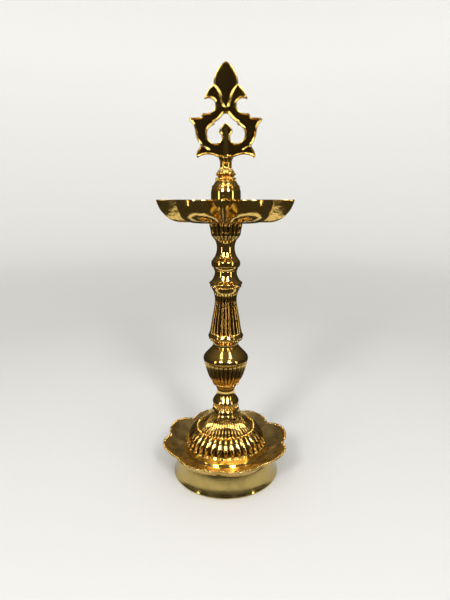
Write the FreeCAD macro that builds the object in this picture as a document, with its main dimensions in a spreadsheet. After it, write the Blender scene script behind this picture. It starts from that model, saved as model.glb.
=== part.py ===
import FreeCAD, Part
import math
import os
import Sketcher

# Brass standing oil lamp, 305 mm tall, turned and cast in sections that screw together.
# Z is up and the lamp stands on z = 0 with its axis on the Z axis. The crest faces -Y.
# Every section has its own local height, counted from the face that it stands on.

DIMENSIONS = {
    # Heights of the stack, from the floor up
    "foot_height": 18.0,
    "tray_floor": 1.5,
    "dome_height": 31.0,
    "knop_height": 14.3,
    "urn_height": 39.2,
    "stem_ring_height": 1.0,
    "column_height": 45.6,
    "bell_height": 12.4,
    "barrel_height": 21.3,
    "bowl_ring_height": 0.9,
    "cup_height": 12.8,
    "bowl_floor": 1.6,
    "collar_height": 27.4,
    "crest_ring_height": 2.9,
    "neck_height": 13.3,
    "crest_height": 62.0,
    # Largest radii of the turned sections
    "foot_lip_radius": 41.8,
    "foot_wall_radius": 39.7,
    "dome_skirt_radius": 33.4,
    "dome_shoulder_radius": 31.3,
    "dome_top_radius": 11.0,
    "knop_radius": 10.3,
    "urn_belly_radius": 17.1,
    "urn_neck_radius": 7.1,
    "stem_ring_radius": 10.0,
    "column_ring_radius": 13.4,
    "column_waist_radius": 8.3,
    "bell_flange_radius": 12.3,
    "barrel_neck_radius": 6.6,
    "bowl_ring_radius": 7.7,
    "cup_radius": 12.0,
    "collar_radius": 10.7,
    "crest_ring_radius": 7.5,
    "neck_ring_radius": 7.1,
    "neck_radius": 4.2,
    # Foot
    "foot_wall": 1.7,
    "foot_bridge": 1.8,
    # Tray
    "tray_depth": 9.5,
    "tray_lobe_radius": 50.8,
    "tray_notch_radius": 46.2,
    "tray_base_radius": 38.6,
    "tray_wall": 1.3,
    "tray_turn": 15.0,
    # Oil bowl
    "bowl_depth": 16.3,
    "bowl_tip_radius": 50.4,
    "bowl_valley_radius": 36.2,
    "bowl_lobe_radius": 44.6,
    "bowl_valley_angle": 10.8,
    "bowl_turn": -2.5,
    # Crest plate
    "crest_thickness": 3.0,
    "tenon_half_width": 3.0,
    "tenon_depth": 3.0,
    # Threaded rods, each modelled at its outside diameter
    "rod_radius": 3.0,
    "finial_stud_radius": 2.5,
    "running_gap": 0.05,
    "base_rod_start": 7.5,
    "base_rod_length": 70.5,
    "stud_reach": 11.0,
    "column_stud_length": 24.0,
    "stem_stud_drop": 10.0,
    "stem_stud_length": 29.0,
    "bowl_stud_length": 40.5,
    "finial_stud_length": 21.0,
    # Fastening under the foot
    "nut_across_flats": 10.0,
    "nut_height": 5.0,
    "washer_radius": 14.0,
    "washer_height": 1.5,
    # Flutes
    "column_flutes": 22,
    "urn_flutes": 28,
}

doc = FreeCAD.newDocument("samai")
sheet = doc.addObject("Spreadsheet::Sheet", "Dims")
for row, (alias, size_text) in enumerate(DIMENSIONS.items(), start=1):
    sheet.set("A%d" % row, alias)
    sheet.set("B%d" % row, str(size_text))
    sheet.setAlias("B%d" % row, alias)
doc.recompute()

subparts = []


def cells(*names):
    """Expression that adds the named cells of the sheet."""
    return " + ".join("Dims." + name for name in names)


def number(size):
    """Value of a plain number, a cell's name or an expression over the sheet."""
    if isinstance(size, str):
        return float(sheet.evalExpression(expression(size)))
    return float(size)


def expression(size):
    """A cell's name alone becomes a reference to it; a longer expression stays as it is."""
    return size if "Dims." in size else "Dims." + size


# Levels of the faces that the sections stand on
SECTIONS = [
    ("tray", "foot_height"),
    ("dome", "tray_floor"),
    ("knop", "dome_height"),
    ("urn", "knop_height"),
    ("stem_ring", "urn_height"),
    ("column", "stem_ring_height"),
    ("bell", "column_height"),
    ("barrel", "bell_height"),
    ("bowl_ring", "barrel_height"),
    ("cup", "bowl_ring_height"),
    ("bowl", "cup_height"),
    ("collar", "bowl_floor"),
    ("crest_ring", "collar_height"),
    ("neck", "crest_ring_height"),
    ("crest", "neck_height"),
]
LEVEL = {}
below = []
for section, height_below in SECTIONS:
    below.append(height_below)
    LEVEL[section] = cells(*below)


def new_body(name, level=None):
    """An empty body that stands at the given level of the stack."""
    body = doc.addObject("PartDesign::Body", name + "_body")
    body.Label = name
    body.Placement = FreeCAD.Placement(FreeCAD.Vector(0, 0, 0), FreeCAD.Rotation())
    if level:
        body.setExpression("Placement.Base.z", level)
    subparts.append(body)
    return body


def plane(body, role):
    for feature in body.Origin.OriginFeatures:
        if feature.Role == role:
            return feature
    raise ValueError(role)


def new_sketch(body, name, role, level=None):
    sketch = body.newObject("Sketcher::SketchObject", name)
    sketch.AttachmentSupport = (plane(body, role), [""])
    sketch.MapMode = "FlatFace"
    if level is not None:
        sketch.AttachmentOffset = FreeCAD.Placement(
            FreeCAD.Vector(0, 0, number(level)), FreeCAD.Rotation()
        )
        if isinstance(level, str):
            sketch.setExpression("AttachmentOffset.Base.z", expression(level))
    return sketch


def curve(start, end, bulge):
    """Line or arc from start to end. A positive bulge swells to the right of the way there."""
    if not bulge:
        return Part.LineSegment(start, end)
    chord = end - start
    right = FreeCAD.Vector(chord.y, -chord.x, 0).normalize()
    radius = (chord.Length**2 / 4 + bulge**2) / (2 * abs(bulge))
    centre = (start + end) / 2 + right * (bulge - math.copysign(radius, bulge))
    first, last = (start, end) if bulge > 0 else (end, start)
    angles = [math.atan2(point.y - centre.y, point.x - centre.x) for point in (first, last)]
    if angles[1] <= angles[0]:
        angles[1] += 2 * math.pi
    circle = Part.Circle(centre, FreeCAD.Vector(0, 0, 1), radius)
    return Part.ArcOfCircle(circle, angles[0], angles[1])


def place(sketch, edge, end, axis, size):
    """Holds one coordinate of an edge's end, bound to the sheet if the size is a cell."""
    value = number(size)
    if abs(value) < 1e-9:
        sketch.addConstraint(Sketcher.Constraint("PointOnObject", edge, end, -2 if axis == "X" else -1))
        return
    index = sketch.addConstraint(Sketcher.Constraint("Distance" + axis, -1, 1, edge, end, value))
    if isinstance(size, str):
        sketch.setExpression("Constraints[%d]" % index, expression(size))


def draw(sketch, outline):
    """Closed outline of (across, up) or (across, up, bulge of the edge that follows)."""
    steps = [(step + (0,))[:3] for step in outline]
    points = [FreeCAD.Vector(number(across), number(up), 0) for across, up, _ in steps]
    first_edge = sketch.GeometryCount
    ends = []
    for index, (_, _, bulge) in enumerate(steps):
        following = points[(index + 1) % len(points)]
        sketch.addGeometry(curve(points[index], following, bulge), False)
        ends.append((1, 2) if bulge >= 0 else (2, 1))
    for index, (across, up, bulge) in enumerate(steps):
        edge = first_edge + index
        following = (index + 1) % len(steps)
        joint = Sketcher.Constraint(
            "Coincident", edge, ends[index][1], first_edge + following, ends[following][0]
        )
        sketch.addConstraint(joint)
        place(sketch, edge, ends[index][0], "X", across)
        place(sketch, edge, ends[index][0], "Y", up)
        if bulge:
            radius = sketch.Geometry[edge].Radius
            sketch.addConstraint(Sketcher.Constraint("Radius", edge, radius))


def turned(name, outline, level=None):
    """A section turned about Z from its outline of (radius, local height, bulge)."""
    body = new_body(name, level)
    sketch = new_sketch(body, name + "_profile", "XZ_Plane")
    draw(sketch, outline)
    turn = body.newObject("PartDesign::Revolution", name + "_turn")
    turn.Profile = sketch
    turn.ReferenceAxis = (sketch, ["V_Axis"])
    turn.Angle = 360
    sketch.Visibility = False
    body.Tip = turn
    doc.recompute()
    return body


def flutes(body, count, foot, head, radius):
    """Cuts equal round flutes along the slope from foot to head, both (radius, height).

    The first flute stands half a step off the X axis, clear of the turned faces' seam."""
    name = body.Label
    uncut = body.Shape.Volume
    slope = math.degrees(math.atan2(head[0] - foot[0], head[1] - foot[1]))
    half_step = FreeCAD.Rotation(FreeCAD.Vector(0, 0, 1), 180 / number(count))
    lean = FreeCAD.Rotation(FreeCAD.Vector(0, 1, 0), slope)
    cutter = body.newObject("PartDesign::SubtractiveCylinder", name + "_flute")
    cutter.Radius = radius
    cutter.Height = math.hypot(head[0] - foot[0], head[1] - foot[1])
    cutter.AttachmentSupport = (plane(body, "XY_Plane"), [""])
    cutter.MapMode = "FlatFace"
    start = half_step.multVec(FreeCAD.Vector(foot[0], 0, foot[1]))
    cutter.AttachmentOffset = FreeCAD.Placement(start, half_step.multiply(lean))
    body.Tip = cutter
    doc.recompute()
    one_flute = uncut - body.Shape.Volume
    pattern = body.newObject("PartDesign::PolarPattern", name + "_flutes")
    pattern.Originals = [cutter]
    pattern.Axis = (plane(body, "Z_Axis"), [""])
    pattern.Angle = 360
    pattern.Occurrences = int(number(count))
    pattern.setExpression("Occurrences", expression(count))
    body.Tip = pattern
    doc.recompute()
    all_flutes = uncut - body.Shape.Volume
    if one_flute <= 0 or abs(all_flutes / (one_flute * number(count)) - 1) > 0.02:
        raise RuntimeError(name + ": the flutes are not all cut")


def rod(name, radius, length, level):
    """A threaded rod or stud at its outside diameter."""
    body = new_body(name, level)
    sketch = new_sketch(body, name + "_circle", "XY_Plane")
    circle = Part.Circle(FreeCAD.Vector(0, 0, 0), FreeCAD.Vector(0, 0, 1), number(radius))
    sketch.addGeometry(circle, False)
    sketch.addConstraint(Sketcher.Constraint("Coincident", 0, 3, -1, 1))
    index = sketch.addConstraint(Sketcher.Constraint("Radius", 0, number(radius)))
    sketch.setExpression("Constraints[%d]" % index, expression(radius))
    pad = body.newObject("PartDesign::Pad", name + "_length")
    pad.Profile = sketch
    pad.Length = number(length)
    pad.setExpression("Length", expression(length))
    body.Tip = pad
    doc.recompute()
    return body


ROD = "rod_radius"
RUNNING = "Dims.rod_radius + Dims.running_gap"
FINIAL_STUD = "finial_stud_radius"
FINIAL_RUNNING = "Dims.finial_stud_radius + Dims.running_gap"


# Foot: a flared ring, open below, with a bridge under the tray that the rod passes through.
FOOT_INSIDE = "Dims.foot_wall_radius - Dims.foot_wall"
BRIDGE_UNDERSIDE = "Dims.foot_height - Dims.foot_bridge"
turned("foot_ring", [
    (39.0, 0),
    ("foot_lip_radius", 0),
    ("foot_lip_radius", 1.0, -0.35),
    ("Dims.foot_wall_radius + 0.3", 8.0),
    ("foot_wall_radius", 12.0),
    ("foot_wall_radius", "foot_height"),
    (RUNNING, "foot_height"),
    (RUNNING, BRIDGE_UNDERSIDE),
    (FOOT_INSIDE, BRIDGE_UNDERSIDE),
    (FOOT_INSIDE, 8.0),
])


def petal_outline(notch, lobe, turn, count=8):
    """Rim of a dish with equal round petals: the turn is the azimuth of one petal's middle."""
    half = 180.0 / count
    outline = []
    for petal in range(count):
        azimuth = number(turn) - 90 + half * (2 * petal - 1)
        across = "(%s) * cos(%g deg)" % (notch, azimuth)
        up = "(%s) * sin(%g deg)" % (notch, azimuth)
        bulge = number(lobe) - number(notch) * math.cos(math.radians(half))
        outline.append((across, up, bulge))
    return outline


def spout_outline(tip, valley, lobe, turn, width, count=5):
    """Plan of the bowl: pointed spouts with a valley each side and a round lobe between.
    width is the spouts' share of their full angle, so that they narrow to a keel."""
    step = 360.0 / count
    valley_angle = number("bowl_valley_angle") * width
    outline = []
    for spout in range(count):
        middle = number(turn) - 90 + step * spout
        spout_bulge = 0.06 * (number(tip) - number(valley))
        half_lobe = step / 2 - valley_angle
        lobe_bulge = number(lobe) - number(valley) * math.cos(math.radians(half_lobe))
        corners = [
            (valley, middle - valley_angle, spout_bulge),
            (tip, middle, spout_bulge),
            (valley, middle + valley_angle, lobe_bulge),
        ]
        for reach, azimuth, bulge in corners:
            across = "(%s) * cos(%g deg)" % (reach, azimuth)
            up = "(%s) * sin(%g deg)" % (reach, azimuth)
            outline.append((across, up, bulge))
    return outline


def loft(body, kind, name, layers):
    """Lofts the outlines of the layers, each (height, outline), into or out of the body."""
    sketches = []
    for index, (height, outline) in enumerate(layers):
        sketch = new_sketch(body, "%s_%d" % (name, index), "XY_Plane", height)
        draw(sketch, outline)
        sketches.append(sketch)
    doc.recompute()
    before = body.Shape.Volume if body.Tip else 0
    feature = body.newObject("PartDesign::" + kind, name)
    feature.Profile = sketches[0]
    feature.Sections = sketches[1:]
    feature.Ruled = False
    body.Tip = feature
    doc.recompute()
    change = body.Shape.Volume - before
    if (change > 0) != (kind == "AdditiveLoft"):
        raise RuntimeError(name + ": the loft changed nothing")


def drill(body, radius, depth):
    """Round hole up the axis from the body's underside."""
    name = body.Label
    before = body.Shape.Volume
    sketch = new_sketch(body, name + "_hole", "XY_Plane")
    circle = Part.Circle(FreeCAD.Vector(0, 0, 0), FreeCAD.Vector(0, 0, 1), number(radius))
    sketch.addGeometry(circle, False)
    sketch.addConstraint(Sketcher.Constraint("Coincident", 0, 3, -1, 1))
    index = sketch.addConstraint(Sketcher.Constraint("Radius", 0, number(radius)))
    sketch.setExpression("Constraints[%d]" % index, expression(radius))
    pocket = body.newObject("PartDesign::Pocket", name + "_bore")
    pocket.Profile = sketch
    pocket.Reversed = True
    pocket.Length = number(depth)
    pocket.setExpression("Length", expression(depth))
    body.Tip = pocket
    doc.recompute()
    if not body.Shape.Volume < before:
        raise RuntimeError(name + ": the bore cut nothing")


# Drip tray: eight cupped petals round a flat floor.
tray = new_body("drip_tray", LEVEL["tray"])
BASE = "Dims.tray_base_radius"
NOTCH = "Dims.tray_notch_radius"
LOBE = "Dims.tray_lobe_radius"
WALL = " - Dims.tray_wall"
TRAY_RIM = "Dims.tray_depth"
loft(tray, "AdditiveLoft", "tray_outside", [
    (0, petal_outline(BASE, BASE + " + 1.2", "tray_turn")),
    ("Dims.tray_depth * 0.42", petal_outline(NOTCH + " - 2.8", LOBE + " - 4.2", "tray_turn")),
    (TRAY_RIM, petal_outline(NOTCH, LOBE, "tray_turn")),
])
loft(tray, "SubtractiveLoft", "tray_inside", [
    ("tray_floor", petal_outline(BASE + " - 0.6", BASE + " + 0.6", "tray_turn")),
    (
        "Dims.tray_floor + Dims.tray_depth * 0.42",
        petal_outline(NOTCH + " - 3.6", LOBE + " - 5.2", "tray_turn"),
    ),
    ("Dims.tray_depth + 0.001", petal_outline(NOTCH + WALL, LOBE + WALL, "tray_turn")),
])
drill(tray, RUNNING, "tray_floor")

# Dome: a thin casting with a smooth skirt, a round shoulder and a flared cone.
turned("base_dome", [
    ("Dims.dome_skirt_radius - 2.2", 0),
    ("dome_skirt_radius", 0),
    ("dome_skirt_radius", 0.7, -0.35),
    ("Dims.dome_shoulder_radius + 0.3", 2.4),
    ("dome_shoulder_radius", 4.2, 2.5),
    (22.9, 18.0),
    (22.6, 18.9),
    (21.3, 19.0, -2.0),
    ("dome_top_radius", "dome_height"),
    (RUNNING, "dome_height"),
    (RUNNING, 28.4),
    (8.6, 28.4, 1.8),
    (19.4, 16.6, -2.3),
    ("Dims.dome_shoulder_radius - 2.0", 3.4),
], LEVEL["dome"])

# Knop: turned rings between the dome and the urn.
turned("lower_knop", [
    (RUNNING, 0),
    ("dome_top_radius", 0),
    (10.6, 2.1, 0.15),
    (9.9, 3.9),
    (9.9, 5.5, -0.2),
    (9.9, 7.3, 0.3),
    ("knop_radius", 9.0),
    (8.7, 11.6, -0.2),
    (7.4, "knop_height"),
    (RUNNING, "knop_height"),
], LEVEL["knop"])

# Urn: neck, fluted belly, plain band and a smooth shoulder. The base rod screws in from
# below, and the column's stud screws in from above with a running gap.
ROD_BORE_END = 20.0
urn = turned("urn", [
    (ROD, 0),
    (7.4, 0),
    ("urn_neck_radius", 1.2),
    ("urn_neck_radius", 4.9, -0.1),
    (7.9, 7.0),
    (7.9, 8.4),
    (9.0, 9.9, 1.5),
    (16.7, 28.2),
    ("urn_belly_radius", 29.0, 0.15),
    ("urn_belly_radius", 31.5, 0.3),
    (15.2, 34.2, -0.2),
    (11.6, 37.2),
    ("stem_ring_radius", "urn_height"),
    (RUNNING, "urn_height"),
    (RUNNING, ROD_BORE_END),
    (ROD, ROD_BORE_END),
], LEVEL["urn"])
flutes(urn, "urn_flutes", (12.2, 10.4), (17.6, 25.4), 1.35)


def ring(name, radius, bore, height, level):
    """A plain seat ring with lightly rounded edges."""
    turned(name, [
        (bore, 0),
        ("Dims.%s - 0.3" % radius, 0, 0.1),
        (radius, 0.3),
        (radius, "Dims.%s - 0.3" % height, 0.1),
        ("Dims.%s - 0.3" % radius, height),
        (bore, height),
    ], level)


ring("stem_ring", "stem_ring_radius", RUNNING, "stem_ring_height", LEVEL["stem_ring"])

# Fluted column: a beaded ring near its foot, a long taper to the waist and a flared head.
column = turned("fluted_column", [
    (ROD, 0),
    (9.6, 0),
    (9.6, 1.8, -0.3),
    (12.3, 5.8),
    ("column_ring_radius", 7.4, 0.15),
    ("column_ring_radius", 8.4),
    (12.3, 10.4),
    ("column_waist_radius", 32.4),
    ("column_waist_radius", 38.0, -0.45),
    (10.9, "column_height"),
    (ROD, "column_height"),
], LEVEL["column"])
flutes(column, "column_flutes", (13.3, 10.9), (9.3, 33.5), 1.4)

# Bell: a sharp flange that slopes in to a neck.
turned("stem_bell", [
    (ROD, 0),
    (10.9, 0),
    (11.5, 1.4),
    ("bell_flange_radius", 3.0),
    ("bell_flange_radius", 3.4, -0.5),
    (8.2, 9.0),
    (8.2, "bell_height"),
    (ROD, "bell_height"),
], LEVEL["bell"])

# Barrel: a round ring and the upper neck. Its top bore takes the bowl's stud.
turned("stem_barrel", [
    (ROD, 0),
    (8.4, 0),
    (9.6, 2.8),
    (10.2, 3.9, 0.45),
    (10.2, 7.4),
    (8.6, 9.8),
    (7.5, 11.8, -0.15),
    ("barrel_neck_radius", 14.2),
    ("barrel_neck_radius", 18.0, -0.1),
    (7.5, "barrel_height"),
    (RUNNING, "barrel_height"),
    (RUNNING, 9.0),
    (ROD, 9.0),
], LEVEL["barrel"])

ring("bowl_ring", "bowl_ring_radius", RUNNING, "bowl_ring_height", LEVEL["bowl_ring"])

# Cup that carries the bowl.
turned("bowl_cup", [
    (ROD, 0),
    (7.9, 0, -0.2),
    (10.2, 3.4, 0.15),
    (10.9, 4.4),
    (10.9, 6.3, -0.15),
    (11.8, 9.6),
    ("cup_radius", 10.8),
    ("cup_radius", "cup_height"),
    (ROD, "cup_height"),
], LEVEL["cup"])

# Oil bowl: five pointed wick spouts and five round lobes, cast thin.
bowl = new_body("oil_bowl", LEVEL["bowl"])
TIP = "Dims.bowl_tip_radius"
VALLEY = "Dims.bowl_valley_radius"
BOWL_LOBE = "Dims.bowl_lobe_radius"


def bowl_layer(height, width, tip_in, valley_in, lobe_in):
    """Plan of the bowl at a height, drawn in from the rim by three amounts."""
    outline = spout_outline(
        "%s - %g" % (TIP, tip_in),
        "%s - %g" % (VALLEY, valley_in),
        "%s - %g" % (BOWL_LOBE, lobe_in),
        "bowl_turn",
        width,
    )
    return (height, outline)


loft(bowl, "AdditiveLoft", "bowl_outside", [
    bowl_layer(0, 0.28, 19.4, 13.7, 15.6),
    bowl_layer("Dims.bowl_depth * 0.12", 0.32, 11.9, 9.7, 10.1),
    bowl_layer("Dims.bowl_depth * 0.4", 0.65, 5.2, 4.7, 3.2),
    bowl_layer("Dims.bowl_depth", 1, 0, 0, 0),
])
loft(bowl, "SubtractiveLoft", "bowl_inside", [
    bowl_layer("Dims.bowl_floor", 0.28, 22.4, 15.7, 17.2),
    bowl_layer("Dims.bowl_depth * 0.22", 0.32, 14.9, 11.2, 10.8),
    bowl_layer("Dims.bowl_depth * 0.45", 0.6, 8.4, 6.0, 4.7),
    bowl_layer("Dims.bowl_depth * 1.0001", 1, 2.6, 1.4, 1.4),
])
drill(bowl, ROD, "bowl_floor")

# Collar: the smooth turned boss in the middle of the bowl. It clamps the bowl on its cup,
# and its top bore takes the finial's stud.
turned("bowl_collar", [
    (ROD, 0),
    (11.8, 0, -0.2),
    ("collar_radius", 2.6),
    ("collar_radius", 20.3, 0.1),
    (10.0, 22.4),
    (10.0, 23.8, -0.2),
    (8.2, 25.8),
    (7.4, "collar_height"),
    (FINIAL_RUNNING, "collar_height"),
    (FINIAL_RUNNING, 15.0),
    (ROD, 15.0),
], LEVEL["collar"])

turned("crest_ring", [
    (FINIAL_RUNNING, 0),
    (7.0, 0, 0.2),
    ("crest_ring_radius", 1.1, 0.25),
    (6.6, "crest_ring_height"),
    (FINIAL_RUNNING, "crest_ring_height"),
], LEVEL["crest_ring"])

# Finial neck: a ribbed ring and a plain neck with a slot for the crest's tenon.
STUD_BORE_END = 8.2
neck = turned("finial_neck", [
    (FINIAL_STUD, 0),
    (5.7, 0),
    (5.7, 0.6),
    ("neck_ring_radius", 1.0, 0.2),
    ("neck_ring_radius", 2.4),
    (5.6, 4.0, -0.2),
    ("neck_radius", 6.2),
    ("neck_radius", 11.2, -0.1),
    (5.4, "neck_height"),
    (0, "neck_height"),
    (0, STUD_BORE_END),
    (FINIAL_STUD, STUD_BORE_END),
], LEVEL["neck"])
slot_sketch = new_sketch(neck, "tenon_slot_outline", "XZ_Plane")
SLOT_FLOOR = "Dims.neck_height - Dims.tenon_depth"
draw(slot_sketch, [
    ("-Dims.tenon_half_width", SLOT_FLOOR),
    ("Dims.tenon_half_width", SLOT_FLOOR),
    ("Dims.tenon_half_width", "neck_height"),
    ("-Dims.tenon_half_width", "neck_height"),
])
solid_neck = neck.Shape.Volume
slot = neck.newObject("PartDesign::Pocket", "tenon_slot")
slot.Profile = slot_sketch
slot.SideType = "Symmetric"
slot.Length = number("crest_thickness")
slot.setExpression("Length", expression("crest_thickness"))
neck.Tip = slot
doc.recompute()
if not neck.Shape.Volume < solid_neck:
    raise RuntimeError("finial_neck: the tenon slot cut nothing")


def mirrored(right_half):
    """Closes a half outline, drawn up the right side, with its mirror image in X."""
    steps = [(step + (0,))[:3] for step in right_half]
    outline = list(steps)
    for index in range(len(steps) - 1, -1, -1):
        across, up, _ = steps[index]
        if across == 0:
            continue
        bulge = steps[index - 1][2] if index else 0
        left = "-(%s)" % across if isinstance(across, str) else -across
        outline.append((left, up, bulge))
    return outline


# Crest plate: a pierced palmette with a spade leaf, two side leaves and scrolled arms.
crest = new_body("crest_plate", LEVEL["crest"])
crest_sketch = new_sketch(crest, "crest_outline", "XZ_Plane")
draw(crest_sketch, mirrored([
    ("Dims.tenon_half_width", "-Dims.tenon_depth"),
    ("Dims.tenon_half_width", 0),
    (5.3, 0),
    (13.0, 1.9, -0.45),
    (20.0, -0.4, 1.1),
    (18.1, 7.1, 0.6),
    (21.6, 19.1, -0.6),
    (25.2, 25.5, 0.2),
    (16.7, 26.7),
    (15.2, 29.2, 0.3),
    (10.3, 29.7, -1.0),
    (7.4, 34.6, -1.0),
    (10.8, 38.9, 0.4),
    (14.7, 38.2, 0.9),
    (8.6, 47.5, 1.9),
    (0, "crest_height"),
]))
draw(crest_sketch, mirrored([
    (0, 22.6, -0.95),
    (4.6, 16.4, 0.6),
    (3.1, 12.7, 1.0),
    (7.5, 9.3, 1.4),
    (13.1, 15.9, 0.95),
    (9.4, 21.4),
    (7.3, 22.1),
    (8.0, 23.3),
    (0, 29.0),
]))
crest_pad = crest.newObject("PartDesign::Pad", "crest_pad")
crest_pad.Profile = crest_sketch
crest_pad.SideType = "Symmetric"
crest_pad.Length = number("crest_thickness")
crest_pad.setExpression("Length", expression("crest_thickness"))
crest.Tip = crest_pad
doc.recompute()

# Rods and studs
rod("base_rod", ROD, "base_rod_length", "Dims.base_rod_start")
rod("column_stud", ROD, "column_stud_length", LEVEL["stem_ring"] + " - Dims.stud_reach")
rod("stem_stud", ROD, "stem_stud_length", LEVEL["bell"] + " - Dims.stem_stud_drop")
rod("bowl_stud", ROD, "bowl_stud_length", LEVEL["bowl_ring"] + " - Dims.stud_reach")
rod(
    "finial_stud",
    FINIAL_STUD,
    "finial_stud_length",
    LEVEL["crest_ring"] + " - Dims.stud_reach",
)

# Washer and hexagon nut under the foot's bridge
WASHER_LEVEL = "Dims.foot_height - Dims.foot_bridge - Dims.washer_height"
turned("base_washer", [
    (RUNNING, 0),
    ("washer_radius", 0),
    ("washer_radius", "washer_height"),
    (RUNNING, "washer_height"),
], WASHER_LEVEL)

nut = new_body("base_nut", WASHER_LEVEL + " - Dims.nut_height")
nut_sketch = new_sketch(nut, "nut_hexagon", "XY_Plane")
CORNER = "Dims.nut_across_flats / sqrt(3)"
draw(nut_sketch, [
    ("%s * cos(%d deg)" % (CORNER, 60 * side), "%s * sin(%d deg)" % (CORNER, 60 * side))
    for side in range(6)
])
nut_pad = nut.newObject("PartDesign::Pad", "nut_pad")
nut_pad.Profile = nut_sketch
nut_pad.Length = number("nut_height")
nut_pad.setExpression("Length", expression("nut_height"))
nut.Tip = nut_pad
doc.recompute()
drill(nut, ROD, "nut_height")

doc.recompute()
for item in doc.Objects:
    if "Invalid" in item.State or "Error" in item.State:
        raise RuntimeError("%s is %s" % (item.Name, item.State))
os.makedirs("parts", exist_ok=True)
for body in subparts:
    shape = body.Shape
    if shape.isNull() or not shape.isValid() or len(shape.Solids) != 1:
        raise RuntimeError("%s has a faulty shape" % body.Label)
    box = shape.BoundBox
    print("%-14s %9.1f mm3  z %6.2f to %6.2f  x %6.2f to %6.2f" % (
        body.Label, shape.Volume, box.ZMin, box.ZMax, box.XMin, box.XMax))
    shape.exportStep("parts/%s.step" % body.Label)
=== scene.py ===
import math

import bmesh
import bpy
import numpy as np
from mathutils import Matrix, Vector
from mathutils.kdtree import KDTree


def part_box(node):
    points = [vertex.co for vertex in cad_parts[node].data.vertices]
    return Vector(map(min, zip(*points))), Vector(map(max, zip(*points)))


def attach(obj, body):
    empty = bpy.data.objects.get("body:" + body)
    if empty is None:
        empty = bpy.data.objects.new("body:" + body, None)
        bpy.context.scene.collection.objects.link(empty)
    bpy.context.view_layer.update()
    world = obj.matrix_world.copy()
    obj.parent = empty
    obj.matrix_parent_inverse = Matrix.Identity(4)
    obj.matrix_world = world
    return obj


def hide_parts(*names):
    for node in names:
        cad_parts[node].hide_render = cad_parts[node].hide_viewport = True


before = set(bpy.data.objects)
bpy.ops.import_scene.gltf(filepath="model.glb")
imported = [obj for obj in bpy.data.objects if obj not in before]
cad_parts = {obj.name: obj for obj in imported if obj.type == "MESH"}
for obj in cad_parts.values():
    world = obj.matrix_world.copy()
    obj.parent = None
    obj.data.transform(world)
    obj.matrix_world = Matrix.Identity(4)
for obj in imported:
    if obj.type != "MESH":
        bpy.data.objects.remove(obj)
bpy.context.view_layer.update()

# A cast and turned brass oil lamp. Outlines are in millimetres, as (radius, height above the
# lowest point of the piece's own CAD node); finished meshes are in metres.
MM = 0.001
FULL_TURN = 2 * math.pi
# Radii of the threaded studs and of the bores that they pass through.
STUD = 3.0
FINIAL_STUD = 2.5
TAPPED_BORE = 3.1
CLEAR_BORE = 3.2
FINIAL_BORE = 2.6


def base_height(node):
    """Height of a CAD node's lowest point, in millimetres."""
    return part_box(node)[0].z / MM


def top_height(node):
    """Height of a CAD node's highest point, in millimetres."""
    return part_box(node)[1].z / MM


# ---------------------------------------------------------------- outlines

def through(points, steps=8):
    """Smooth curve through a stretch of points, as a centripetal Catmull-Rom spline."""
    points = [np.array(point, float) for point in points]
    if len(points) < 3:
        return [tuple(point) for point in points]
    padded = [2 * points[0] - points[1], *points, 2 * points[-1] - points[-2]]
    curve = []
    for before, start, end, after in zip(padded, padded[1:], padded[2:], padded[3:]):
        knots = [0.0]
        for here, there in ((before, start), (start, end), (end, after)):
            knots.append(knots[-1] + max(np.linalg.norm(there - here), 1e-6) ** 0.5)
        for step in range(steps):
            t = knots[1] + (knots[2] - knots[1]) * step / steps
            a1 = before + (start - before) * (t - knots[0]) / (knots[1] - knots[0])
            a2 = start + (end - start) * (t - knots[1]) / (knots[2] - knots[1])
            a3 = end + (after - end) * (t - knots[2]) / (knots[3] - knots[2])
            b1 = a1 + (a2 - a1) * (t - knots[0]) / (knots[2] - knots[0])
            b2 = a2 + (a3 - a2) * (t - knots[1]) / (knots[3] - knots[1])
            curve.append(tuple(b1 + (b2 - b1) * (t - knots[1]) / (knots[2] - knots[1])))
    curve.append(tuple(points[-1]))
    return curve


def resample(points, spacing, closed=True, count=None):
    """Evenly spaced points along a polyline. Only the first two numbers of a point count as
    its place; the others are carried along."""
    points = np.array(points, float)
    if closed:
        points = np.vstack([points, points[:1]])
    lengths = np.linalg.norm(np.diff(points[:, :3], axis=0), axis=1)
    points = points[np.concatenate([[True], lengths > 1e-9])]
    lengths = np.linalg.norm(np.diff(points[:, :3], axis=0), axis=1)
    along = np.concatenate([[0], np.cumsum(lengths)])
    count = count or max(8, int(round(along[-1] / spacing)))
    wanted = np.linspace(0, along[-1], count, endpoint=not closed)
    return np.stack([np.interp(wanted, along, points[:, k]) for k in range(points.shape[1])], 1)


def soften(points, times=1):
    """Rounds the corners of a closed, evenly spaced outline by about one spacing."""
    for _ in range(times):
        points = (np.roll(points, 1, 0) + 2 * points + np.roll(points, -1, 0)) / 4
    return points


def mirrored(half):
    """Whole outline from its right half, drawn from the bottom up."""
    left = [(-across, up) for across, up in half[::-1] if across > 1e-6]
    return [*half, *left]


# ---------------------------------------------------------------- meshes

def grid_faces(rows, columns):
    """Quads of a grid that closes on itself both ways."""
    row = np.arange(rows)[:, None]
    column = np.arange(columns)[None, :]
    next_row = (row + 1) % rows
    next_column = (column + 1) % columns
    quads = [
        row * columns + column,
        row * columns + next_column,
        next_row * columns + next_column,
        next_row * columns + column,
    ]
    return np.stack(quads, -1).reshape(-1, 4)


def polar_grid(angle, rows):
    """Closed solid from rings of (radius, height, groove), each given at every angle."""
    angle = np.broadcast_to(angle, rows[0][0].shape)
    points = np.stack([
        np.stack([radius * np.sin(angle), -radius * np.cos(angle), height], -1)
        for radius, height, _ in rows
    ])
    grooves = np.stack([groove for _, _, groove in rows])
    return points.reshape(-1, 3), grid_faces(len(rows), len(angle)), grooves.reshape(-1)


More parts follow.
